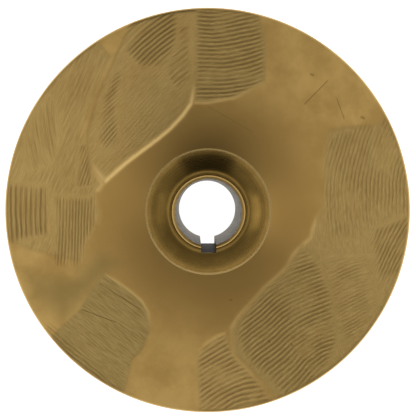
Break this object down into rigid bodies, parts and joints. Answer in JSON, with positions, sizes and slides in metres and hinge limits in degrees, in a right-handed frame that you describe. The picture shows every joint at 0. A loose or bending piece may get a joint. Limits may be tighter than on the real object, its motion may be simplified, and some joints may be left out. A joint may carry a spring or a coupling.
{
  "type": "enclosed boat propeller wheel",
  "caption": "Closed bronze wheel for a boat's jet drive: ground back disc, domed hub with a tapered keyed bore, curved vanes and an inlet eye with a wear ring.",
  "frame": {"origin": "on the shaft axis, at the lowest plane, where the wheel lies on its inlet eye", "axes": "+Z along the shaft axis towards the drive side, keyway on the -Y side"},
  "size_m": [0.217, 0.217, 0.064],
  "materials": {
    "turned_bronze": "fine turned bronze",
    "sleeve_metal": "fine bored, grey",
    "ground_bronze": "ground by hand in flat patches with chatter marks",
    "cast_bronze": "cast and cleaned",
    "ring_bronze": "turned",
    "screw_steel": "plain stainless"
  },
  "bodies": {
    "root": {"hub": "turned_bronze", "bore_sleeve": "sleeve_metal", "back_shroud": "ground_bronze", "vane_1": "cast_bronze", "vane_2": "cast_bronze", "vane_3": "cast_bronze", "vane_4": "cast_bronze", "vane_5": "cast_bronze", "vane_6": "cast_bronze", "front_shroud": "cast_bronze", "wear_ring": "ring_bronze", "wear_ring_screw_1": "screw_steel", "wear_ring_screw_2": "screw_steel", "wear_ring_screw_3": "screw_steel"}
  },
  "joints": []
}
